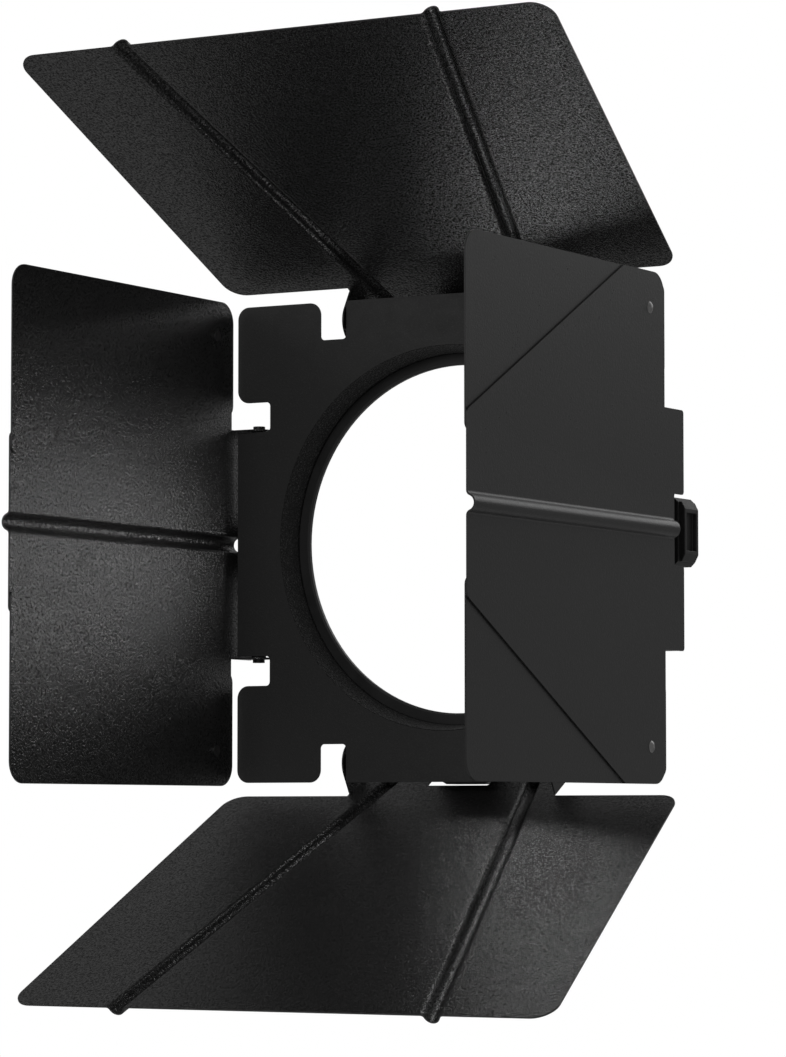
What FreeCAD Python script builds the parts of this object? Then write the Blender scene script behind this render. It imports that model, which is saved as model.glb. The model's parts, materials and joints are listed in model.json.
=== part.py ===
"""Four-leaf barn door attachment for a ten inch stage lamp, in millimetres.

+X is to the right seen from the front, +Z is up and light leaves along -Y. The origin is on the
optical axis, where the lamp's nose seats against the rear ring. Each of the four sides carries the
same hinge and rim claw, so they are built once for the top side and turned about the Y axis.
"""
import FreeCAD, Part
import math
import os

from FreeCAD import Vector

os.makedirs("parts", exist_ok=True)

# sheet plate
PLATE_HALF = 171.0
PLATE_T = 1.2
PLATE_CORNER_R = 9.0
PLATE_HOLE_R = 135.2
NOTCH_IN = 80.5
NOTCH_OUT = 101.7
NOTCH_BOTTOM = 143.9
NOTCH_R = 3.0
PLATE_DEPTH = 23.0
FRONT_Y = -PLATE_DEPTH
BACK_Y = FRONT_Y + PLATE_T

# hinge: the pivot lies this far out from the axis and behind the plate's front face
PIVOT_OUT = 157.2
PIVOT_BACK = 6.8
PIVOT_Y = FRONT_Y + PIVOT_BACK
PIN_R = 2.5
PIN_CLEARANCE = 0.05
REST_OPEN = {"top": 30.5, "right": 0.0, "bottom": 30.5, "left": 0.0}
SIDE_TURN = {"top": 0.0, "right": 90.0, "bottom": 180.0, "left": -90.0}

# leaves: u runs forward, v outward, a along the hinge; each kind of leaf has its own (u, v) for the
# pivot, so that the top and bottom leaves fold over the side leaves
SIDE_PIVOT = (7.0, 0.0)
TRAPEZOID_PIVOT = (6.03, -3.55)
SHEET_T = 1.2
WING_V = 14.4
LEAF_V = 15.7
LEAF_FACE_V = LEAF_V + SHEET_T
HINGE_U = 19.2
LEAF_LENGTH = 276.2
OUTER_U = HINGE_U + LEAF_LENGTH
CORNER_R = 15.0
TAB_HALF = 82.5
TAB_REAR_U = -9.7
TAB_CUT_HALF = 24.4
TAB_CUT_U = 5.0
TRAPEZOID_EAR_R = 16.4
SIDE_EAR_R = 9.4
TRAPEZOID_HINGE_HALF = 178.9
TRAPEZOID_OUTER_HALF = 206.7
SIDE_HALF = 173.3
SIDE_CUT_U = 79.0
SIDE_OUTER_HALF = 58.5

# pressed beads
BEAD_R = 6.0
BEAD_HEIGHT = 5.5
BEAD_FILLET = 2.5
TRAPEZOID_BEAD_HINGE = 61.0
TRAPEZOID_BEAD_OUTER = 119.8
SIDE_BEAD_START_U = 7.0
TRAPEZOID_BEAD_START_U = 0.0

# swivelling wings
WING_HINGE_EDGE = 93.0
WING_OUTER_EDGE = 45.0
WING_PIVOT_U = HINGE_U + 21.3
WING_PIVOT_A = 148.4
RIVET_R = 2.0
RIVET_HEAD_R = 4.0
RIVET_HEAD_T = 1.6
RIVET_TAIL_T = 0.4
WING_WASHER_R = 9.0

# rings round the light opening
SLEEVE_FRONT_R = 134.8
SLEEVE_REAR_R = 130.6
SLEEVE_T = 1.5
SLEEVE_REAR_Y = FRONT_Y + 19.2
SLEEVE_FLANGE_R = 139.0
RING_OPENING_R = 122.7
COLLAR_R = 133.0
COLLAR_OUTER_R = 136.3
COLLAR_LENGTH = 12.0
RING_EAR_R = 146.0
RING_EAR_HALF = 9.0
STANDOFF_R = 4.0
STUD_R = 2.0
STUD_HEAD_R = 3.2
STUD_HEAD_T = 0.6

# hinge hardware, along the hinge from the middle of a side
LUG_OUT_A = 79.8
LUG_T = 2.2
LUG_R = 10.5
LUG_FOOT_A = 60.0
LUG_FOOT_IN = 141.0
LUG_FOOT_OUT = 153.0
LUG_FOOT_T = 1.5
EAR_IN_A = TAB_HALF - SHEET_T
SPRING_T = 3.0
NUT_T = 4.6
HEAD_T = 2.4
HEAD_R = 4.3
WASHER_R = 5.3
DISC_SPRING_R = 5.2

# rim claws and their guides
GUIDE_HALF = 23.4
GUIDE_IN = 149.0
GUIDE_OUT = 168.2
GUIDE_FRONT_Y = FRONT_Y + 26.2
GUIDE_REAR_Y = FRONT_Y + 52.6
GUIDE_WALL = 2.6
GUIDE_POST_HALF = 17.0
CLAW_OUT = 172.3
CLAW_IN = 152.0
CLAW_GAP = 0.15
CLAW_NOSE_IN = 144.5
CLAW_NOSE_HALF = 14.0
CLAW_NOSE_T = 6.0
RECESS_HALF = 13.0
RECESS_DEPTH = 3.6
RECESS_MARGIN = 2.6
GUIDE_PIN_R = 1.5
GUIDE_PIN_OUT = 163.2
SLOT_HALF = 3.2
SLOT_IN = 153.6
SPRING_R = 2.4
SPRING_WIRE_R = 0.4

AXIS = Vector(0, 1, 0)
ORIGIN = Vector(0, 0, 0)


def save(name, *shapes):
    """Write one node's solids as a STEP file."""
    shape = shapes[0] if len(shapes) == 1 else Part.makeCompound(list(shapes))
    shape.exportStep("parts/" + name + ".step")


def turned(shape, side):
    """A copy of a top-side shape turned to its own side."""
    copy = shape.copy()
    copy.rotate(ORIGIN, AXIS, SIDE_TURN[side])
    return copy


def opened(shape, side):
    """A leaf's shape opened to its rest angle, still on the top side."""
    copy = shape.copy()
    copy.rotate(Vector(0, PIVOT_Y, PIVOT_OUT), Vector(-1, 0, 0), REST_OPEN[side])
    return copy


def box(x0, x1, y0, y1, z0, z1):
    return Part.makeBox(x1 - x0, y1 - y0, z1 - z0, Vector(x0, y0, z0))


def rounded_wire(corners):
    """Closed wire through (point, radius) corners, each radius an arc tangent to its two sides."""
    edges = []
    stops = []
    count = len(corners)
    for i in range(count):
        point, radius = corners[i]
        back = (corners[i - 1][0] - point).normalize()
        on = (corners[(i + 1) % count][0] - point).normalize()
        if radius <= 0:
            stops.append((point, point))
            continue
        half = back.getAngle(on) / 2
        reach = radius / math.tan(half)
        middle = (back + on).normalize()
        centre = point + middle * (radius / math.sin(half))
        stops.append((point + back * reach, point + on * reach))
        edges.append(Part.Arc(stops[i][0], centre - middle * radius, stops[i][1]).toShape())
    for i in range(count):
        start = stops[i][1]
        end = stops[(i + 1) % count][0]
        if (end - start).Length > 1e-6:
            edges.append(Part.LineSegment(start, end).toShape())
    return Part.Wire(Part.__sortEdges__(edges))


def prism(corners, along):
    return Part.Face(rounded_wire(corners)).extrude(along)


def lathe(profile):
    """Solid of revolution about the optical axis of a closed (radius, y) profile."""
    points = [Vector(r, y, 0) for r, y in profile]
    face = Part.Face(Part.makePolygon(points + [points[0]]))
    return face.revolve(ORIGIN, AXIS, 360)


def disc(x0, x1, radius, y, z):
    """Cylinder along X between two stations."""
    return Part.makeCylinder(radius, x1 - x0, Vector(x0, y, z), Vector(1, 0, 0))


def mirrored(shape):
    return shape.mirror(ORIGIN, Vector(1, 0, 0))


# ---------------------------------------------------------------- plate and rings


def notch(sign):
    """Cutter for one ear notch of the top side, with the corner tab's rounded corner."""
    top = PLATE_HALF + 20
    corners = [
        (Vector(sign * NOTCH_IN, FRONT_Y - 1, NOTCH_BOTTOM), NOTCH_R),
        (Vector(sign * NOTCH_OUT, FRONT_Y - 1, NOTCH_BOTTOM), NOTCH_R),
        (Vector(sign * NOTCH_OUT, FRONT_Y - 1, top), 0),
        (Vector(sign * NOTCH_IN, FRONT_Y - 1, top), 0),
    ]
    return prism(corners, Vector(0, PLATE_T + 2, 0))


def tab_corner(sign):
    """Cutter that rounds the corner tab where it meets a notch."""
    r = PLATE_CORNER_R
    x0 = NOTCH_OUT
    block = box(x0 - 0.5, x0 + r, FRONT_Y - 1, BACK_Y + 1, PLATE_HALF - r, PLATE_HALF + 0.5)
    round_off = Part.makeCylinder(r, PLATE_T + 2, Vector(x0 + r, FRONT_Y - 1, PLATE_HALF - r), AXIS)
    cutter = block.cut(round_off)
    return cutter if sign > 0 else mirrored(cutter)


def front_plate():
    h = PLATE_HALF
    square = [(Vector(x, FRONT_Y, z), PLATE_CORNER_R) for x, z in ((-h, -h), (h, -h), (h, h), (-h, h))]
    plate = prism(square, Vector(0, PLATE_T, 0))
    hole = Part.makeCylinder(PLATE_HOLE_R, PLATE_T + 2, Vector(0, FRONT_Y - 1, 0), AXIS)
    cutters = [hole]
    for side in SIDE_TURN:
        for sign in (-1, 1):
            cutters.append(turned(notch(sign), side))
            cutters.append(turned(tab_corner(sign), side))
        cutters += [turned(stud_head(x, z), side) for x, z, _ in stud_places()]
    return plate.cut(cutters).removeSplitter()


def aperture_ring():
    """Textured sleeve: it narrows to the rear and has a flange behind the plate."""
    front, rear, t = SLEEVE_FRONT_R, SLEEVE_REAR_R, SLEEVE_T
    lip = PLATE_HOLE_R - 0.05
    back = BACK_Y + 0.02
    slope = (front - rear) / (SLEEVE_REAR_Y - FRONT_Y)
    wall_front = front + t - slope * (back + PLATE_T - FRONT_Y)
    profile = [
        (front, FRONT_Y),
        (front + 0.15, FRONT_Y - 0.3),
        (lip, FRONT_Y - 0.3),
        (lip, back),
        (SLEEVE_FLANGE_R, back),
        (SLEEVE_FLANGE_R, back + PLATE_T),
        (wall_front, back + PLATE_T),
        (rear + t, SLEEVE_REAR_Y),
        (rear, SLEEVE_REAR_Y),
    ]
    return lathe(profile)


def rear_ring():
    """Smooth inward flange with a rear collar, and four ears on the diagonals."""
    y0 = SLEEVE_REAR_Y
    profile = [
        (RING_OPENING_R + 1.2, y0),
        (COLLAR_OUTER_R, y0),
        (COLLAR_OUTER_R, COLLAR_LENGTH),
        (COLLAR_R, COLLAR_LENGTH),
        (COLLAR_R, 0),
        (RING_OPENING_R, 0),
        (RING_OPENING_R, y0 + 1.2),
    ]
    ring = lathe(profile)
    ears = []
    holes = []
    for quarter in range(4):
        angle = 45 + 90 * quarter
        ear = box(-RING_EAR_HALF, RING_EAR_HALF, y0, 0, COLLAR_OUTER_R - 2, RING_EAR_R)
        ear = ear.fuse(Part.makeCylinder(RING_EAR_HALF, -y0, Vector(0, y0, RING_EAR_R), AXIS))
        hole = Part.makeCylinder(STUD_R, -y0 + 2, Vector(0, y0 - 1, RING_EAR_R), AXIS)
        for shape, group in ((ear, ears), (hole, holes)):
            shape.rotate(ORIGIN, AXIS, angle)
            group.append(shape)
    return ring.fuse(ears).cut(holes).removeSplitter()


# ---------------------------------------------------------------- fasteners


def hex_nut(radius, flats, thickness, base, along):
    """Hexagonal nut with its bore, standing on base."""
    points = []
    for corner in range(7):
        angle = math.radians(60 * corner)
        reach = flats / math.sqrt(3)
        points.append(Vector(reach * math.cos(angle), reach * math.sin(angle), 0))
    nut = Part.Face(Part.makePolygon(points)).extrude(Vector(0, 0, thickness))
    corner = flats / math.sqrt(3)
    rim = flats / 2
    drop = (corner - rim) * 0.6
    profile = [(0, 0), (corner, 0), (corner, thickness - drop), (rim, thickness), (0, thickness)]
    round_top = Part.makePolygon([Vector(r, 0, z) for r, z in profile + profile[:1]])
    nut = nut.common(Part.Face(round_top).revolve(ORIGIN, Vector(0, 0, 1), 360))
    nut = nut.cut(Part.makeCylinder(radius, thickness))
    nut.Placement = FreeCAD.Placement(base, FreeCAD.Rotation(Vector(0, 0, 1), along))
    return nut


def stud_head(x, z):
    """The thin head of a clinch stud, let into the plate's back."""
    return Part.makeCylinder(STUD_HEAD_R, STUD_HEAD_T, Vector(x, BACK_Y - STUD_HEAD_T, z), AXIS)


def stud(x, z, length):
    shank = Part.makeCylinder(STUD_R, length, Vector(x, BACK_Y, z), AXIS)
    return stud_head(x, z).fuse(shank).removeSplitter()


def stud_places():
    """Top-side stud places with the height of what each one holds."""
    places = []
    for sign in (-1, 1):
        places.append((sign * 66.0, 147.0, LUG_FOOT_T))
        places.append((sign * 11.0, 145.0, LUG_FOOT_T))
    return places


def standoffs():
    """Four posts from the plate to the rear ring's ears, with a screw end through the ear."""
    posts = []
    for quarter in range(4):
        base = Vector(0, BACK_Y, RING_EAR_R)
        post = Part.makeCylinder(STANDOFF_R, SLEEVE_REAR_Y - BACK_Y, base, AXIS)
        end = Part.makeCylinder(STUD_R, -SLEEVE_REAR_Y + 3.4, Vector(0, SLEEVE_REAR_Y, RING_EAR_R), AXIS)
        post = post.fuse(end).removeSplitter()
        post.rotate(ORIGIN, AXIS, 45 + 90 * quarter)
        posts.append(post)
    return posts


def standoff_nuts():
    nuts = []
    for quarter in range(4):
        nut = hex_nut(STUD_R, 7.0, 3.0, Vector(0, 0, RING_EAR_R), AXIS)
        nut.rotate(ORIGIN, AXIS, 45 + 90 * quarter)
        nuts.append(nut)
    return nuts


# ---------------------------------------------------------------- hinge hardware


def hinge_lug():
    """Right-hand lug of the top side: a foot on the plate's back and a bored ear-side web."""
    x1 = LUG_OUT_A
    x0 = x1 - LUG_T
    foot_top = BACK_Y + LUG_FOOT_T
    foot = box(LUG_FOOT_A, x1, BACK_Y, foot_top, LUG_FOOT_IN, LUG_FOOT_OUT)
    web = disc(x0, x1, LUG_R, PIVOT_Y, PIVOT_OUT)
    root = [
        Vector(x0, BACK_Y, LUG_FOOT_IN),
        Vector(x0, BACK_Y, PIVOT_OUT),
        Vector(x0, PIVOT_Y, PIVOT_OUT + 1),
        Vector(x0, PIVOT_Y + LUG_R * 0.7, PIVOT_OUT - LUG_R * 0.7),
    ]
    arm = Part.Face(Part.makePolygon(root + [root[0]])).extrude(Vector(LUG_T, 0, 0))
    limit = box(x0 - 1, x1 + 1, BACK_Y, PIVOT_Y + 40, 0, PIVOT_OUT + 40)
    lug = foot.fuse([web, arm]).common(limit)
    hole = disc(x0 - 1, x1 + 1, PIN_R + PIN_CLEARANCE, PIVOT_Y, PIVOT_OUT)
    x, z, _ = stud_places()[2]
    stud_hole = Part.makeCylinder(STUD_R + 0.1, 4, Vector(x, BACK_Y - 1, z), AXIS)
    return lug.cut([hole, stud_hole]).removeSplitter()


def shoulder_screw():
    head_a = TAB_HALF + 0.1
    tail_a = LUG_OUT_A - LUG_T - SPRING_T - NUT_T - 1.0
    shank = disc(tail_a, head_a + 0.1, PIN_R, PIVOT_Y, PIVOT_OUT)
    head = disc(head_a, head_a + HEAD_T, HEAD_R, PIVOT_Y, PIVOT_OUT)
    socket = disc(head_a + HEAD_T - 1.4, head_a + HEAD_T + 1, 1.6, PIVOT_Y, PIVOT_OUT)
    return shank.fuse(head).cut(socket).removeSplitter()


def friction_washer():
    ring = disc(LUG_OUT_A, EAR_IN_A - 0.05, WASHER_R, PIVOT_Y, PIVOT_OUT)
    return ring.cut(disc(LUG_OUT_A - 1, EAR_IN_A + 1, PIN_R + PIN_CLEARANCE, PIVOT_Y, PIVOT_OUT))


def disc_spring():
    """Two cupped disc springs back to back, as one turned profile about the hinge axis."""
    x0 = LUG_OUT_A - LUG_T - SPRING_T
    x1 = LUG_OUT_A - LUG_T
    middle = (x0 + x1) / 2
    inner = PIN_R + 0.1
    outer = DISC_SPRING_R
    profile = [(x0, inner), (x0 + 0.9, inner), (middle, outer - 0.6), (x1 - 0.9, inner), (x1, inner)]
    profile += [(middle + 0.6, outer), (middle - 0.6, outer)]
    points = [Vector(x, PIVOT_Y + r, PIVOT_OUT) for x, r in profile]
    face = Part.Face(Part.makePolygon(points + [points[0]]))
    return face.revolve(Vector(0, PIVOT_Y, PIVOT_OUT), Vector(1, 0, 0), 360)


def hinge_nut():
    base = Vector(LUG_OUT_A - LUG_T - SPRING_T - NUT_T, PIVOT_Y, PIVOT_OUT)
    return hex_nut(PIN_R, 8.0, NUT_T, base, Vector(1, 0, 0))


# ---------------------------------------------------------------- leaves


def leaf_point(pivot, a, u, v):
    """A leaf's own coordinates to the top side, leaf parallel to the optical axis."""
    return Vector(a, PIVOT_Y + pivot[0] - u, PIVOT_OUT - pivot[1] + v)


def sheet(pivot, corners, v):
    """Flat sheet from (a, u, radius) corners, its inner face at v."""
    placed = [(leaf_point(pivot, a, u, v), r) for a, u, r in corners]
    return prism(placed, Vector(0, 0, SHEET_T))


def bead_profile(inset):
    """Section of a pressed bead in (across, height) over the sheet's outer face.

    inset 0 gives the outside of the bead, inset SHEET_T the hollow on its inside.
    """
    centre = BEAD_HEIGHT - BEAD_R
    r = BEAD_R - inset
    fillet = BEAD_FILLET + inset
    reach = math.sqrt((BEAD_R + BEAD_FILLET) ** 2 - (BEAD_FILLET - centre) ** 2)
    lean = math.atan2(BEAD_FILLET - centre, reach)
    tangent = (r * math.cos(lean), centre + r * math.sin(lean))
    low = (reach, -inset)
    swing = (-math.pi / 2 + lean - math.pi) / 2
    middle = (reach + fillet * math.cos(swing), BEAD_FILLET + fillet * math.sin(swing))
    right = [tangent, middle, low]
    left = [(-x, y) for x, y in reversed(right)]
    return left, (0, centre + r), right


def bead_edges(place, inset):
    """Closed outline of a bead's section, run a little below the sheet."""
    left, crest, right = bead_profile(inset)
    floor = -SHEET_T - inset
    edges = [
        Part.Arc(place(left[0]), place(left[1]), place(left[2])).toShape(),
        Part.Arc(place(left[2]), place(crest), place(right[0])).toShape(),
        Part.Arc(place(right[0]), place(right[1]), place(right[2])).toShape(),
    ]
    ends = [right[2], (right[2][0], floor), (left[0][0], floor), left[0]]
    for p, q in zip(ends, ends[1:]):
        if (place(q) - place(p)).Length > 1e-6:
            edges.append(Part.LineSegment(place(p), place(q)).toShape())
    return edges


def bead(start, end, inset):
    """Bar of a bead's section between two points on a sheet's outer face."""
    run = end - start
    across = Vector(run).normalize().cross(Vector(0, 0, 1))

    def place(point):
        return start + across * point[0] + Vector(0, 0, point[1])

    return Part.Face(Part.Wire(bead_edges(place, inset))).extrude(run)


def bead_cap(start, across, inset):
    """Rounded closed end of a bead: half of its section swung half a turn about its end."""
    crest = bead_profile(inset)[1]
    right = bead_profile(inset)[2]
    floor = -SHEET_T - inset
    centre = BEAD_HEIGHT - BEAD_R
    lean = math.atan2(right[0][1] - centre, right[0][0])
    half = (math.pi / 2 + lean) / 2
    r = BEAD_R - inset
    shoulder = (r * math.cos(half), centre + r * math.sin(half))

    def place(point):
        return start + across * point[0] + Vector(0, 0, point[1])

    edges = [
        Part.Arc(place(crest), place(shoulder), place(right[0])).toShape(),
        Part.Arc(place(right[0]), place(right[1]), place(right[2])).toShape(),
    ]
    ends = [right[2], (right[2][0], floor), (0, floor), crest]
    for p, q in zip(ends, ends[1:]):
        if (place(q) - place(p)).Length > 1e-6:
            edges.append(Part.LineSegment(place(p), place(q)).toShape())
    return Part.Face(Part.Wire(edges)).revolve(start, Vector(0, 0, -1), 180)


def with_beads(leaf, pivot, outline, lines, capped):
    """Press beads into a sheet; their open ends are trimmed to the leaf's outline."""
    tall = [(leaf_point(pivot, a, u, LEAF_V - 1), r) for a, u, r in outline]
    trim = prism(tall, Vector(0, 0, 12))
    for line in lines:
        start, end = [leaf_point(pivot, a, u, LEAF_FACE_V) for a, u in line]
        for inset in (0, SHEET_T):
            bar = bead(start, end, inset)
            if capped:
                across = (end - start).normalize().cross(Vector(0, 0, 1))
                bar = bar.fuse(bead_cap(start, across, inset)).removeSplitter()
            leaf = leaf.cut(bar) if inset else leaf.fuse(bar.common(trim))
    return leaf.removeSplitter()


def hinge_ears(pivot, centre_u, radius, rear_u):
    """The two bent ears of a leaf's hinge tab, rounded at their inner end, with their pin holes."""
    x0, x1 = EAR_IN_A, TAB_HALF
    centre = leaf_point(pivot, 0, centre_u, 0)
    front_y = leaf_point(pivot, 0, centre_u + radius, 0).y
    rear_y = leaf_point(pivot, 0, rear_u, 0).y
    face_z = leaf_point(pivot, 0, 0, LEAF_FACE_V).z
    ear = disc(x0, x1, radius, centre.y, centre.z)
    ear = ear.fuse(box(x0, x1, front_y, centre.y + 1, centre.z, face_z))
    ear = ear.fuse(box(x0, x1, centre.y, rear_y, centre.z, face_z))
    ear = ear.common(box(x0 - 1, x1 + 1, front_y - 1, rear_y, centre.z - 40, face_z))
    ear = ear.cut(disc(x0 - 1, x1 + 1, PIN_R + PIN_CLEARANCE, PIVOT_Y, PIVOT_OUT))
    return [ear, mirrored(ear)]


def tab_corners(start_u):
    """Outline of the hinge tab from its right root round to its left root."""
    cut = TAB_CUT_HALF
    rear = TAB_REAR_U
    return [
        (TAB_HALF, start_u, 0),
        (TAB_HALF, rear, 2.5),
        (cut, rear, 2.5),
        (cut, TAB_CUT_U, 1.5),
        (-cut, TAB_CUT_U, 1.5),
        (-cut, rear, 2.5),
        (-TAB_HALF, rear, 2.5),
        (-TAB_HALF, start_u, 0),
    ]


def trapezoid_leaf():
    """Top or bottom leaf: it widens outward and has two slanted beads."""
    hinge, outer = TRAPEZOID_HINGE_HALF, TRAPEZOID_OUTER_HALF
    outline = [(-hinge, HINGE_U, CORNER_R), (-outer, OUTER_U, CORNER_R)]
    outline += [(outer, OUTER_U, CORNER_R), (hinge, HINGE_U, CORNER_R)]
    outline += tab_corners(HINGE_U)
    slope = (TRAPEZOID_BEAD_OUTER - TRAPEZOID_BEAD_HINGE) / LEAF_LENGTH
    lines = []
    for sign in (-1, 1):
        start_u = TRAPEZOID_BEAD_START_U
        end_u = OUTER_U + 2
        start = sign * (TRAPEZOID_BEAD_HINGE + slope * (start_u - HINGE_U))
        end = sign * (TRAPEZOID_BEAD_HINGE + slope * (end_u - HINGE_U))
        lines.append(((start, start_u), (end, end_u)))
    pivot = TRAPEZOID_PIVOT
    leaf = with_beads(sheet(pivot, outline, LEAF_V), pivot, outline, lines, True)
    return leaf.fuse(hinge_ears(pivot, 0, TRAPEZOID_EAR_R, TAB_REAR_U)).removeSplitter()


def side_leaf():
    """Left or right leaf: outer corners cut away where the wings take over, one bead."""
    half, cut_u, tip = SIDE_HALF, SIDE_CUT_U, SIDE_OUTER_HALF
    outline = [(-half, HINGE_U, CORNER_R), (-half, cut_u, 4), (-tip, OUTER_U, 4)]
    outline += [(tip, OUTER_U, 4), (half, cut_u, 4), (half, HINGE_U, CORNER_R)]
    outline += tab_corners(HINGE_U)
    pivot = SIDE_PIVOT
    line = ((0, SIDE_BEAD_START_U), (0, OUTER_U + 2))
    leaf = with_beads(sheet(pivot, outline, LEAF_V), pivot, outline, [line], False)
    holes = []
    for sign in (-1, 1):
        base = leaf_point(pivot, sign * WING_PIVOT_A, WING_PIVOT_U, LEAF_V - 1)
        holes.append(Part.makeCylinder(RIVET_R, SHEET_T + 2, base, Vector(0, 0, 1)))
    ears = hinge_ears(pivot, pivot[0], SIDE_EAR_R, pivot[0] - SIDE_EAR_R)
    return leaf.fuse(ears).cut(holes).removeSplitter()


def wing(sign):
    """Inner sheet that swivels on its rivet and fills the side leaf's cut corner."""
    half = SIDE_HALF
    outline = [
        (sign * half, HINGE_U, CORNER_R),
        (sign * half, OUTER_U, CORNER_R),
        (sign * WING_OUTER_EDGE, OUTER_U, 5),
        (sign * WING_HINGE_EDGE, HINGE_U, 8),
    ]
    base = leaf_point(SIDE_PIVOT, sign * WING_PIVOT_A, WING_PIVOT_U, WING_V - 1)
    hole = Part.makeCylinder(RIVET_R + PIN_CLEARANCE, SHEET_T + 2, base, Vector(0, 0, 1))
    return sheet(SIDE_PIVOT, outline, WING_V).cut(hole)


def wing_rivet(sign):
    """Rivet with a low domed head on the leaf's outer face and a flat tail inside the wing."""
    base = leaf_point(SIDE_PIVOT, sign * WING_PIVOT_A, WING_PIVOT_U, 0)
    up = Vector(0, 0, 1)
    shank = Part.makeCylinder(RIVET_R, LEAF_FACE_V - WING_V, base + up * WING_V, up)
    tail = Part.makeCylinder(RIVET_HEAD_R, RIVET_TAIL_T, base + up * (WING_V - RIVET_TAIL_T), up)
    dome_r = (RIVET_HEAD_R ** 2 + RIVET_HEAD_T ** 2) / (2 * RIVET_HEAD_T)
    dome = Part.makeSphere(dome_r, base + up * (LEAF_FACE_V + RIVET_HEAD_T - dome_r))
    head = dome.common(Part.makeCylinder(RIVET_HEAD_R + 1, 5, base + up * LEAF_FACE_V, up))
    return shank.fuse([tail, head]).removeSplitter()


def wing_washer(sign):
    base = leaf_point(SIDE_PIVOT, sign * WING_PIVOT_A, WING_PIVOT_U, WING_V + SHEET_T)
    up = Vector(0, 0, 1)
    gap = LEAF_V - WING_V - SHEET_T
    ring = Part.makeCylinder(WING_WASHER_R, gap, base, up)
    return ring.cut(Part.makeCylinder(RIVET_R, gap, base, up))


# ---------------------------------------------------------------- rim claws


def claw_guide():
    """Moulded guide: a post on the plate's back and a sleeve that the claw slides through."""
    bevel = 3.0
    corners = [
        (Vector(-GUIDE_HALF, GUIDE_FRONT_Y, GUIDE_IN), 1),
        (Vector(GUIDE_HALF, GUIDE_FRONT_Y, GUIDE_IN), 1),
        (Vector(GUIDE_HALF, GUIDE_FRONT_Y, GUIDE_OUT - bevel), 0.5),
        (Vector(GUIDE_HALF - bevel, GUIDE_FRONT_Y, GUIDE_OUT), 0.5),
        (Vector(-GUIDE_HALF + bevel, GUIDE_FRONT_Y, GUIDE_OUT), 0.5),
        (Vector(-GUIDE_HALF, GUIDE_FRONT_Y, GUIDE_OUT - bevel), 0.5),
    ]
    sleeve = prism(corners, Vector(0, GUIDE_REAR_Y - GUIDE_FRONT_Y, 0))
    post = box(-GUIDE_POST_HALF, GUIDE_POST_HALF, BACK_Y, GUIDE_FRONT_Y + 1, LUG_FOOT_IN, LUG_FOOT_OUT)
    inner = box(
        -GUIDE_HALF + GUIDE_WALL,
        GUIDE_HALF - GUIDE_WALL,
        GUIDE_FRONT_Y + GUIDE_WALL,
        GUIDE_REAR_Y - GUIDE_WALL,
        GUIDE_IN - 1,
        GUIDE_OUT + 1,
    )
    pin = Part.makeCylinder(GUIDE_PIN_R, 60, Vector(0, GUIDE_FRONT_Y - 5, GUIDE_PIN_OUT), AXIS)
    cutters = [inner, pin]
    for x, z, _ in stud_places()[1::2]:
        cutters.append(Part.makeCylinder(STUD_R + 0.1, 8, Vector(x, BACK_Y - 1, z), AXIS))
        pocket_y = BACK_Y + LUG_FOOT_T
        cutters.append(Part.makeCylinder(4.6, 40, Vector(x, pocket_y, z), AXIS))
    return sleeve.fuse(post).cut(cutters).removeSplitter()


def guide_pin():
    length = GUIDE_REAR_Y - GUIDE_FRONT_Y
    return Part.makeCylinder(GUIDE_PIN_R, length, Vector(0, GUIDE_FRONT_Y, GUIDE_PIN_OUT), AXIS)


def rim_claw():
    """Sliding claw: finger recess outside, slot for the cross pin, nose behind the lamp's rim."""
    half = GUIDE_HALF - GUIDE_WALL - CLAW_GAP
    y0 = GUIDE_FRONT_Y + GUIDE_WALL + CLAW_GAP
    y1 = GUIDE_REAR_Y - GUIDE_WALL - CLAW_GAP
    face_half = RECESS_HALF + RECESS_MARGIN
    corners = [
        (Vector(-half, y0, CLAW_IN), 1),
        (Vector(half, y0, CLAW_IN), 1),
        (Vector(half, y0, GUIDE_OUT + 1.5), 0.8),
        (Vector(face_half, y0, CLAW_OUT), 0.8),
        (Vector(-face_half, y0, CLAW_OUT), 0.8),
        (Vector(-half, y0, GUIDE_OUT + 1.5), 0.8),
    ]
    body = prism(corners, Vector(0, y1 - y0, 0))
    nose = box(-CLAW_NOSE_HALF, CLAW_NOSE_HALF, y1 - CLAW_NOSE_T, y1, CLAW_NOSE_IN, CLAW_IN + 1)
    recess = box(
        -RECESS_HALF,
        RECESS_HALF,
        y0 + RECESS_MARGIN,
        y1 - RECESS_MARGIN,
        CLAW_OUT - RECESS_DEPTH,
        CLAW_OUT + 1,
    )
    slot_out = GUIDE_PIN_OUT + GUIDE_PIN_R + 0.05
    slot = box(-SLOT_HALF, SLOT_HALF, y0 - 1, y1 + 1, SLOT_IN, slot_out)
    return body.fuse(nose).cut([recess, slot]).removeSplitter()


def claw_spring():
    """Compression spring in the claw's slot, between its inner end and the cross pin."""
    low = SLOT_IN + SPRING_WIRE_R + 0.05
    high = GUIDE_PIN_OUT - GUIDE_PIN_R - SPRING_WIRE_R - 0.05
    length = high - low
    turns = 4.5
    radius = SPRING_R - SPRING_WIRE_R
    helix = Part.makeHelix(length / turns, length, radius)
    section = Part.Wire(Part.makeCircle(SPRING_WIRE_R, Vector(radius, 0, 0), Vector(0, 1, 0)))
    coil = Part.Wire(helix).makePipeShell([section], True, True)
    middle_y = (GUIDE_FRONT_Y + GUIDE_REAR_Y) / 2
    coil.translate(Vector(0, middle_y, low))
    return coil


# ---------------------------------------------------------------- write the nodes


def both(shape):
    return [shape, mirrored(shape)]


def write_frame():
    save("front_plate", front_plate())
    save("aperture_ring", aperture_ring())
    save("rear_ring", rear_ring())
    save("standoffs", *standoffs())
    save("standoff_nuts", *standoff_nuts())


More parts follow.
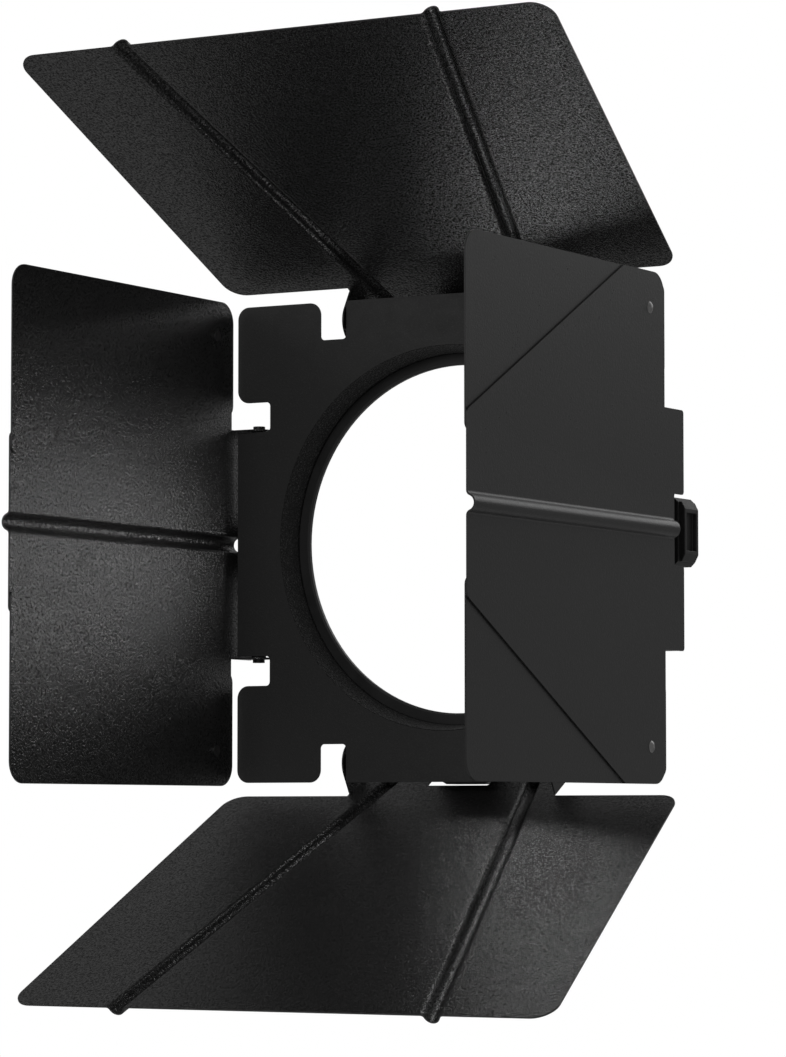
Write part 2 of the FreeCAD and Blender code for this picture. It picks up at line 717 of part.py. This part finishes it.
def write_fasteners():
    groups = {
        "hinge_pins": both(shoulder_screw()),
        "friction_washers": both(friction_washer()),
        "hinge_disc_springs": both(disc_spring()),
        "hinge_nuts": both(hinge_nut()),
        "clinch_studs": [stud(x, z, grip + 4.2) for x, z, grip in stud_places()],
        "stud_nuts": [
            hex_nut(STUD_R, 7.0, 3.0, Vector(x, BACK_Y + grip, z), AXIS) for x, z, grip in stud_places()
        ],
        "guide_pins": [guide_pin()],
    }
    for name, solids in groups.items():
        save(name, *[turned(solid, side) for side in SIDE_TURN for solid in solids])


def write_sides():
    leaves = {"top": trapezoid_leaf(), "bottom": trapezoid_leaf()}
    leaves["left"] = leaves["right"] = side_leaf()
    guide, claw, spring = claw_guide(), rim_claw(), claw_spring()
    for side in SIDE_TURN:
        save("hinge_lugs_" + side, *[turned(lug, side) for lug in both(hinge_lug())])
        save("claw_guide_" + side, turned(guide, side))
        save("rim_claw_" + side, turned(claw, side))
        save("claw_spring_" + side, turned(spring, side))
        save("leaf_" + side, turned(opened(leaves[side], side), side))


def write_wings():
    """The top side's +a end turns to the bottom on the right side, and to the top on the left."""
    for side, upper in (("left", 1), ("right", -1)):
        for place, sign in (("upper", upper), ("lower", -upper)):
            save("wing_" + side + "_" + place, turned(wing(sign), side))
        save("wing_rivets_" + side, *[turned(wing_rivet(sign), side) for sign in (-1, 1)])
        save("wing_washers_" + side, *[turned(wing_washer(sign), side) for sign in (-1, 1)])


write_frame()
write_fasteners()
write_sides()
write_wings()
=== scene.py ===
"""Looks of the four-leaf barn door: finishes, rounded sheet edges, spring copies, light and camera."""
import json
import math

import bmesh
import bpy
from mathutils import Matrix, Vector


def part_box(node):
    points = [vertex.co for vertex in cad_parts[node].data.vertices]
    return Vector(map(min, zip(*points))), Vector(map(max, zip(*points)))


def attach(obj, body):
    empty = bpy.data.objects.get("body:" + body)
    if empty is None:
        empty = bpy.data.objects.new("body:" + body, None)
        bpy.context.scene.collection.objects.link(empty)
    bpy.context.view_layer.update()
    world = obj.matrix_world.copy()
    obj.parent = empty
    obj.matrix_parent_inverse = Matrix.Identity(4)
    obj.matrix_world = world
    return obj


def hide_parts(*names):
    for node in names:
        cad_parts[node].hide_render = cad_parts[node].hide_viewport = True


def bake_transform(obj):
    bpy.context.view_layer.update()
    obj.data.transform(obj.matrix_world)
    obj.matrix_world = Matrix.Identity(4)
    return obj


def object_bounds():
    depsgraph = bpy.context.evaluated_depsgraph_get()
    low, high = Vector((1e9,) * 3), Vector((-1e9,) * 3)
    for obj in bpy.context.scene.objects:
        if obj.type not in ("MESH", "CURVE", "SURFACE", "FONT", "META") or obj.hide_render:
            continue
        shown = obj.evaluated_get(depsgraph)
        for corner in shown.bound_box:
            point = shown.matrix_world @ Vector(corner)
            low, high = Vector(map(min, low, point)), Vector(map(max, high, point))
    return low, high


# edge radii of the refined pieces, in metres
SHEET_EDGE = 0.0003
GUIDE_EDGE = 0.0004
CLAW_EDGE = 0.0005

# studio
FLOOR_DROP = 1.2
FLOOR_REACH = 5.0
SURROUND = 0.24
GLOW_WIDTH = 0.07
GLOW_BEHIND_RING = 0.01
GLOW_POWER = 0.18

# camera
CAMERA_PLACE = (1.4802, -2.6613, -0.1976)
CAMERA_TILT = math.radians(93.85)
CAMERA_TURN = math.radians(29.985)
CAMERA_LENS = 147.65

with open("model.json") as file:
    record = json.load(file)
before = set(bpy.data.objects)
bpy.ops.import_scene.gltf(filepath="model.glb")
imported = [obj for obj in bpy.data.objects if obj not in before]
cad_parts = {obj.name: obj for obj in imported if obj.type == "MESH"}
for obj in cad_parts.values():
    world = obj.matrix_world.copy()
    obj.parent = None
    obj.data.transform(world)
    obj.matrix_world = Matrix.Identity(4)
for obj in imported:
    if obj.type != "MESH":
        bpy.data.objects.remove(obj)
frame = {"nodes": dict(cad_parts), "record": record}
NODES = frame["nodes"]
CAD_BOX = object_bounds()
BODY_OF = {}
for body, members in frame["record"]["behaviour"]["bodies"].items():
    for member in members:
        BODY_OF[member] = body


# ------------------------------------------------------------------ node helpers


class Tree:
    """Short calls for building one material's node tree."""

    def __init__(self, name):
        self.material = bpy.data.materials.new(name)
        self.material.use_nodes = True
        self.tree = self.material.node_tree
        self.tree.nodes.clear()
        place = self.node("ShaderNodeTexCoord")
        self.coords = place.outputs["Object"]
        self.facing = place.outputs["Normal"]

    def node(self, kind, **settings):
        made = self.tree.nodes.new(kind)
        for key, value in settings.items():
            setattr(made, key, value)
        return made

    def put(self, value, socket):
        if isinstance(value, bpy.types.NodeSocket):
            self.tree.links.new(value, socket)
        else:
            socket.default_value = value

    def noise(self, size, detail=2.0, rough=0.5, distortion=0.0, coords=None):
        """Noise whose features are about size metres across."""
        n = self.node("ShaderNodeTexNoise")
        self.put(coords or self.coords, n.inputs["Vector"])
        n.inputs["Scale"].default_value = 1.0 / size
        n.inputs["Detail"].default_value = detail
        n.inputs["Roughness"].default_value = rough
        n.inputs["Distortion"].default_value = distortion
        return n.outputs["Fac"]

    def cells(self, size):
        """Distance to the nearest of scattered points about size metres apart, rounded off."""
        n = self.node("ShaderNodeTexVoronoi", feature="SMOOTH_F1")
        self.put(self.coords, n.inputs["Vector"])
        n.inputs["Scale"].default_value = 1.0 / size
        return n.outputs["Distance"]

    def ramp(self, value, low, high, to_low=0.0, to_high=1.0):
        n = self.node("ShaderNodeMapRange", clamp=True)
        self.put(value, n.inputs["Value"])
        n.inputs["From Min"].default_value = low
        n.inputs["From Max"].default_value = high
        n.inputs["To Min"].default_value = to_low
        n.inputs["To Max"].default_value = to_high
        return n.outputs["Result"]

    def maths(self, operation, a, b):
        n = self.node("ShaderNodeMath", operation=operation)
        self.put(a, n.inputs[0])
        self.put(b, n.inputs[1])
        return n.outputs["Value"]

    def mix(self, fac, a, b):
        n = self.node("ShaderNodeMix", data_type="RGBA")
        self.put(fac, n.inputs["Factor"])
        self.put(a, n.inputs[6])
        self.put(b, n.inputs[7])
        return n.outputs[2]

    def edges(self, radius):
        """1 along edges and 0 on open faces, by how far a rounded normal leans from the true one."""
        bevel = self.node("ShaderNodeBevel", samples=6)
        bevel.inputs["Radius"].default_value = radius
        geometry = self.node("ShaderNodeNewGeometry")
        dot = self.node("ShaderNodeVectorMath", operation="DOT_PRODUCT")
        self.put(bevel.outputs["Normal"], dot.inputs[0])
        self.put(geometry.outputs["True Normal"], dot.inputs[1])
        bent = self.maths("SUBTRACT", 1.0, dot.outputs["Value"])
        return self.ramp(bent, 0.02, 0.16)

    def inward(self):
        """1 on faces turned to the optical axis and 0 on those turned away, as the piece is at rest."""
        radial = self.node("ShaderNodeVectorMath", operation="MULTIPLY")
        self.put(self.coords, radial.inputs[0])
        radial.inputs[1].default_value = (1.0, 0.0, 1.0)
        dot = self.node("ShaderNodeVectorMath", operation="DOT_PRODUCT")
        self.put(radial.outputs["Vector"], dot.inputs[0])
        self.put(self.facing, dot.inputs[1])
        return self.ramp(dot.outputs["Value"], -0.06, -0.02, 1.0, 0.0)

    def bump(self, height, strength, distance):
        n = self.node("ShaderNodeBump")
        self.put(strength, n.inputs["Strength"])
        n.inputs["Distance"].default_value = distance
        self.put(height, n.inputs["Height"])
        return n.outputs["Normal"]

    def finish(self, colour, roughness, normal=None, metallic=0.0, specular=0.5):
        shader = self.node("ShaderNodeBsdfPrincipled")
        self.put(colour, shader.inputs["Base Color"])
        self.put(roughness, shader.inputs["Roughness"])
        self.put(metallic, shader.inputs["Metallic"])
        self.put(specular, shader.inputs["Specular IOR Level"])
        if normal is not None:
            self.put(normal, shader.inputs["Normal"])
        out = self.node("ShaderNodeOutputMaterial")
        self.tree.links.new(shader.outputs["BSDF"], out.inputs["Surface"])
        return self.material


def grey(level, warm=0.0):
    return (level * (1 + warm), level, level * (1 - warm), 1.0)


# ------------------------------------------------------------------ materials


def powder_coat(name, level, rough_low, rough_high, grain, grain_inside, seed):
    """Fine-textured black powder coat: millimetre grains, faint handling marks, and edges lightened partly as
    rubbed wear and partly as a painted highlight.
    """
    t = Tree(name)
    inside = t.inward()
    shift = t.node("ShaderNodeMapping")
    t.put(t.coords, shift.inputs["Vector"])
    shift.inputs["Location"].default_value = (seed, seed * 0.7, seed * 1.3)
    t.coords = shift.outputs["Vector"]
    coarse = t.noise(0.0015, 2.0, 0.6)
    fine = t.noise(0.0006, 1.0, 0.5)
    cloud = t.noise(0.09, 4.0, 0.55, 0.6)
    smear = t.noise(0.02, 3.0, 0.6, 1.5)
    height = t.maths("ADD", coarse, t.maths("MULTIPLY", fine, 0.5))
    # painted highlight: the base colour is lighter along the edges, partly rubbed wear and partly a painted
    # edge highlight
    edge_lightening = t.maths("MULTIPLY", t.edges(0.0006), t.ramp(t.noise(0.006, 3.0), 0.4, 0.62, 0.35, 1.0))
    base = t.mix(cloud, grey(level * 0.82), grey(level * 1.2, 0.01))
    base = t.mix(t.ramp(coarse, 0.56, 0.7, 0.0, 0.35), base, grey(level * 2.4, 0.02))
    base = t.mix(edge_lightening, base, grey(level * 2.6 + 0.01, 0.02))
    rough = t.ramp(smear, 0.3, 0.7, rough_low, rough_high)
    rough = t.maths("SUBTRACT", rough, t.maths("MULTIPLY", edge_lightening, 0.12))
    rough = t.maths("SUBTRACT", rough, t.ramp(coarse, 0.52, 0.66, 0.0, 0.06))
    rough = t.maths("ADD", rough, t.ramp(inside, 0.0, 1.0, 0.1, 0.0))
    normal = t.bump(height, t.ramp(inside, 0.0, 1.0, grain, grain_inside), 0.0014)
    spark = t.ramp(coarse, 0.38, 0.62, -0.4, 0.5)
    shine = t.maths("ADD", t.maths("MULTIPLY", inside, spark), 0.5)
    return t.finish(base, rough, normal, specular=shine)


def sleeve_coat():
    """Coarse wrinkle texture, like black sand, on the light sleeve."""
    t = Tree("sleeve_texture")
    cell = t.cells(0.0019)
    grit = t.noise(0.0011, 3.0, 0.65)
    height = t.maths("SUBTRACT", grit, t.maths("MULTIPLY", cell, 0.9))
    base = t.mix(t.ramp(grit, 0.54, 0.64), grey(0.002), grey(0.034, 0.01))
    rough = t.ramp(grit, 0.35, 0.7, 0.8, 0.55)
    return t.finish(base, rough, t.bump(height, 1.0, 0.0016), specular=0.28)


def satin_ring():
    t = Tree("ring_satin")
    turned = t.noise(0.0012, 2.0, 0.5)
    haze = t.noise(0.035, 3.0, 0.6, 0.8)
    edge_lightening = t.edges(0.0007)
    base = t.mix(haze, grey(0.010), grey(0.017))
    base = t.mix(t.maths("MULTIPLY", edge_lightening, 0.6), base, grey(0.07, 0.01))
    return t.finish(base, t.ramp(haze, 0.3, 0.7, 0.36, 0.5), t.bump(turned, 0.12, 0.0003))


def metal(name, dark, light, rough_low, rough_high, brush, wear_level, stain=0.0):
    """Plated or oxided steel: drawn streaks, blotches and brighter rubbed edges."""
    t = Tree(name)
    stretch = t.node("ShaderNodeMapping")
    t.put(t.coords, stretch.inputs["Vector"])
    stretch.inputs["Scale"].default_value = (1.0, 1.0, 6.0)
    streak = t.noise(0.0011, 4.0, 0.7, 0.0, stretch.outputs["Vector"])
    blotch = t.noise(0.006, 4.0, 0.6, 1.2)
    base = t.mix(t.ramp(blotch, 0.3, 0.7), dark, light)
    if stain:
        base = t.mix(t.ramp(t.noise(0.003, 3.0, 0.7), 0.58, 0.72, 0.0, stain), base, (0.10, 0.055, 0.03, 1.0))
    base = t.mix(t.maths("MULTIPLY", t.edges(0.0004), wear_level), base, (0.42, 0.41, 0.40, 1.0))
    rough = t.ramp(streak, 0.3, 0.7, rough_low, rough_high)
    return t.finish(base, rough, t.bump(streak, brush, 0.0002), metallic=1.0)


def nylon(name, level, rough_low, rough_high):
    """Glass-filled nylon with a fine spark-eroded texture."""
    t = Tree(name)
    spark = t.noise(0.0006, 2.0, 0.6)
    flow = t.noise(0.012, 3.0, 0.5, 1.8)
    edge_lightening = t.edges(0.0005)
    base = t.mix(flow, grey(level * 0.8), grey(level * 1.3))
    base = t.mix(t.maths("MULTIPLY", edge_lightening, 0.5), base, grey(level * 3.5 + 0.01))
    rough = t.ramp(t.maths("ADD", spark, t.maths("MULTIPLY", flow, 0.4)), 0.4, 1.0, rough_low, rough_high)
    return t.finish(base, rough, t.bump(spark, 0.35, 0.0003))


MATERIALS = {
    "plate_coat": powder_coat("plate_coat", 0.020, 0.46, 0.58, 0.12, 0.12, 1.7),
    "leaf_coat": powder_coat("leaf_coat", 0.012, 0.23, 0.25, 0.1, 0.38, 5.3),
    "wing_coat": powder_coat("wing_coat", 0.012, 0.23, 0.25, 0.1, 0.38, 9.1),
    "sleeve_texture": sleeve_coat(),
    "ring_satin": satin_ring(),
    "black_steel": metal("black_steel", grey(0.03), grey(0.06, 0.02), 0.34, 0.5, 0.2, 0.5),
    "zinc_steel": metal("zinc_steel", grey(0.42, 0.01), grey(0.58, -0.01), 0.26, 0.42, 0.25, 0.3, 0.15),
    "spring_steel": metal("spring_steel", grey(0.2), grey(0.34, -0.01), 0.22, 0.34, 0.15, 0.2),
    "rivet_metal": metal("rivet_metal", grey(0.2), grey(0.34, 0.01), 0.26, 0.4, 0.2, 0.5),
    "washer_nylon": nylon("washer_nylon", 0.03, 0.45, 0.6),
    "guide_nylon": nylon("guide_nylon", 0.012, 0.5, 0.62),
    "claw_nylon": nylon("claw_nylon", 0.012, 0.45, 0.58),
}

SLOT_OF = {}
for entry in frame["record"]["subparts"]:
    SLOT_OF[entry["node"]] = entry["material_slot"]


def dress(piece, slot):
    piece.data.materials.clear()
    piece.data.materials.append(MATERIALS[slot])


# ------------------------------------------------------------------ refined pieces


def rounded(node, width, segments=2):
    """A CAD node's shape with its edges broken by a small radius, standing for the node."""
    source = NODES[node]
    mesh = source.data.copy()
    mesh.name = node + "_coated"
    work = bmesh.new()
    work.from_mesh(mesh)
    bmesh.ops.remove_doubles(work, verts=work.verts, dist=2e-6)
    bmesh.ops.dissolve_limit(
        work, angle_limit=math.radians(0.6), verts=work.verts, edges=work.edges, delimit={"NORMAL"}
    )
    work.to_mesh(mesh)
    work.free()
    piece = bpy.data.objects.new(node + "_coated", mesh)
    bpy.context.scene.collection.objects.link(piece)
    bevel = piece.modifiers.new("edge", "BEVEL")
    bevel.width = width
    bevel.segments = segments
    bevel.limit_method = "ANGLE"
    bevel.angle_limit = math.radians(32)
    for polygon in mesh.polygons:
        polygon.use_smooth = True
    mesh.set_sharp_from_angle(angle=math.radians(30))
    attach(piece, BODY_OF[node])
    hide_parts(node)
    dress(piece, SLOT_OF[node])


def live_spring(side):
    """A claw's spring: a still copy of the CAD spring mesh that stands for the node."""
    node = "claw_spring_" + side
    piece = bpy.data.objects.new(node + "_live", NODES[node].data.copy())
    bpy.context.scene.collection.objects.link(piece)
    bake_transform(piece)
    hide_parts(node)
    dress(piece, SLOT_OF[node])


for name, cad in NODES.items():
    dress(cad, SLOT_OF[name])

rounded("front_plate", SHEET_EDGE)
for side in ("top", "bottom", "left", "right"):
    rounded("leaf_" + side, SHEET_EDGE)
    rounded("rim_claw_" + side, CLAW_EDGE, 3)
    rounded("claw_guide_" + side, GUIDE_EDGE)
    live_spring(side)
for name in ("wing_left_upper", "wing_left_lower", "wing_right_upper", "wing_right_lower"):
    rounded(name, SHEET_EDGE)


# ------------------------------------------------------------------ floor, light and camera


def plain_floor(z, reach):
    mesh = bpy.data.meshes.new("floor")
    work = bmesh.new()
    bmesh.ops.create_grid(work, x_segments=8, y_segments=8, size=reach)
    bmesh.ops.translate(work, verts=work.verts, vec=(0, 0, z))
    work.to_mesh(mesh)
    work.free()
    floor = bpy.data.objects.new("floor", mesh)
    bpy.context.scene.collection.objects.link(floor)
    t = Tree("floor_pale")
    cloud = t.noise(1.4, 2.0)
    floor.data.materials.append(
        t.finish(t.mix(cloud, grey(0.80), grey(0.84)), t.ramp(cloud, 0.3, 0.7, 0.7, 0.85))
    )


def area_light(name, place, target, power, size, shape="SQUARE"):
    """A light that the camera itself doesn't see."""
    lamp = bpy.data.lights.new(name, "AREA")
    lamp.energy = power
    lamp.size = size
    lamp.shape = shape
    light = bpy.data.objects.new(name, lamp)
    light.location = place
    aim = Vector(target) - Vector(place)
    light.rotation_euler = aim.to_track_quat("-Z", "Y").to_euler()
    light.visible_camera = False
    bpy.context.scene.collection.objects.link(light)


def white_world(strength):
    """Even studio surround: white to the eye, softer as a light so that black stays black."""
    world = bpy.data.worlds.new("studio")
    world.use_nodes = True
    tree = world.node_tree
    tree.nodes.clear()
    path = tree.nodes.new("ShaderNodeLightPath")
    back = tree.nodes.new("ShaderNodeBackground")
    soft = tree.nodes.new("ShaderNodeBackground")
    mix = tree.nodes.new("ShaderNodeMixShader")
    out = tree.nodes.new("ShaderNodeOutputWorld")
    back.inputs["Color"].default_value = (1, 1, 1, 1)
    back.inputs["Strength"].default_value = 1.0
    soft.inputs["Color"].default_value = (1, 1, 1, 1)
    soft.inputs["Strength"].default_value = strength
    tree.links.new(path.outputs["Is Camera Ray"], mix.inputs["Fac"])
    tree.links.new(soft.outputs["Background"], mix.inputs[1])
    tree.links.new(back.outputs["Background"], mix.inputs[2])
    tree.links.new(mix.outputs["Shader"], out.inputs["Surface"])
    bpy.context.scene.world = world


plain_floor(CAD_BOX[0].z - FLOOR_DROP, FLOOR_REACH)
white_world(SURROUND)

ring_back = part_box("rear_ring")[1].y
glow_place = (0, ring_back + GLOW_BEHIND_RING, 0)
area_light("lens_glow", glow_place, (0, -1, 0), GLOW_POWER, GLOW_WIDTH, "DISK")
area_light("key", (2.4, -2.6, 2.6), (0, -0.1, 0), 4.0, 2.0)
area_light("fill", (-2.2, -2.6, 1.0), (0, -0.1, 0), 8.0, 2.0)
area_light("front", (0.1, -3.4, 1.7), (0, 0, 0.05), 24.0, 1.2)
area_light("rim", (0.6, 2.6, 1.6), (0, 0, 0), 12.0, 2.0)

camera_data = bpy.data.cameras.new("camera")
camera_data.lens = CAMERA_LENS
camera_data.sensor_width = 36.0
camera_data.sensor_fit = "AUTO"
camera_data.clip_end = 60.0
camera = bpy.data.objects.new("camera", camera_data)
camera.location = CAMERA_PLACE
camera.rotation_euler = (CAMERA_TILT, 0.0, CAMERA_TURN)
bpy.context.scene.collection.objects.link(camera)
bpy.context.scene.camera = camera
bpy.context.scene.view_settings.view_transform = "Standard"

bpy.context.view_layer.update()
